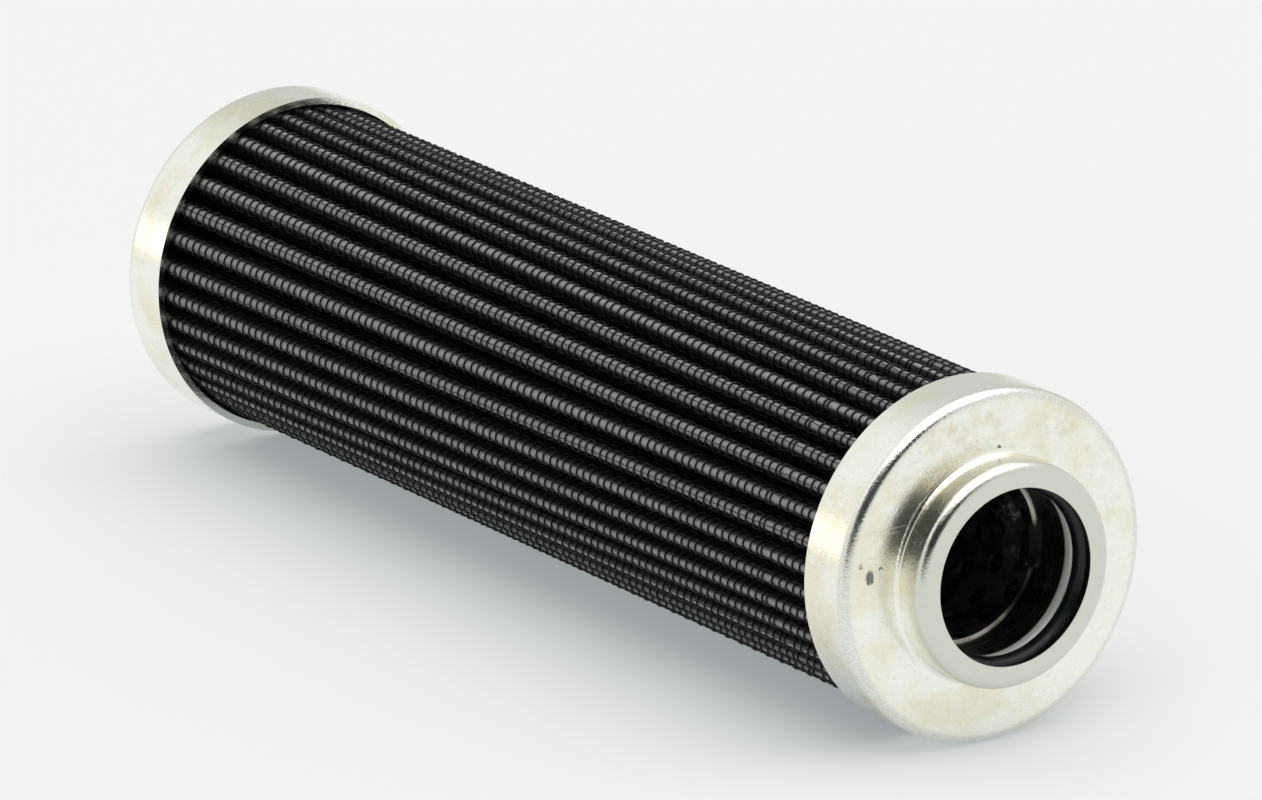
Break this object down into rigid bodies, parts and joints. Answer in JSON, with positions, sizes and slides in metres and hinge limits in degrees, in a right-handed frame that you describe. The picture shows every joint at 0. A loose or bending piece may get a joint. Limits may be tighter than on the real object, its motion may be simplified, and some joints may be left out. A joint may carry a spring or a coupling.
{
  "type": "hydraulic filter element",
  "caption": "Pleated wire-mesh filter element with a perforated core, a closed steel cap at one end and an open neck with an inner o-ring at the other.",
  "frame": {"origin": "centre of the flat underside of the closed lower end cap", "axes": "+Z along the filter's axis, from the closed cap towards the open neck"},
  "size_m": [0.047, 0.047, 0.1737],
  "materials": {
    "cap_steel": "matte tin plate with brighter bends and faint brown stains",
    "o_ring_rubber": "smooth oiled black rubber",
    "sleeve_steel": "smooth drawn steel",
    "core_steel": "dark punched steel with bright hole edges",
    "inner_mesh_wire": "black coated wire",
    "support_fleece": "thin felted fibre",
    "glass_fibre": "soft white glass fibre",
    "pre_filter_fleece": "light grey felted fibre",
    "outer_mesh_wire": "black coated wire cloth",
    "seam_resin": "dark set resin",
    "bond_resin": "dark set resin"
  },
  "bodies": {
    "root": {"upper_end_cap": "cap_steel", "neck_o_ring": "o_ring_rubber", "seal_sleeve": "sleeve_steel", "core_tube": "core_steel", "inner_wire_mesh": "inner_mesh_wire", "downstream_fleece": "support_fleece", "glass_fibre_medium": "glass_fibre", "upstream_fleece": "pre_filter_fleece", "outer_wire_mesh": "outer_mesh_wire", "side_seam": "seam_resin", "upper_bond": "bond_resin", "lower_bond": "bond_resin", "lower_end_cap": "cap_steel"}
  },
  "joints": []
}
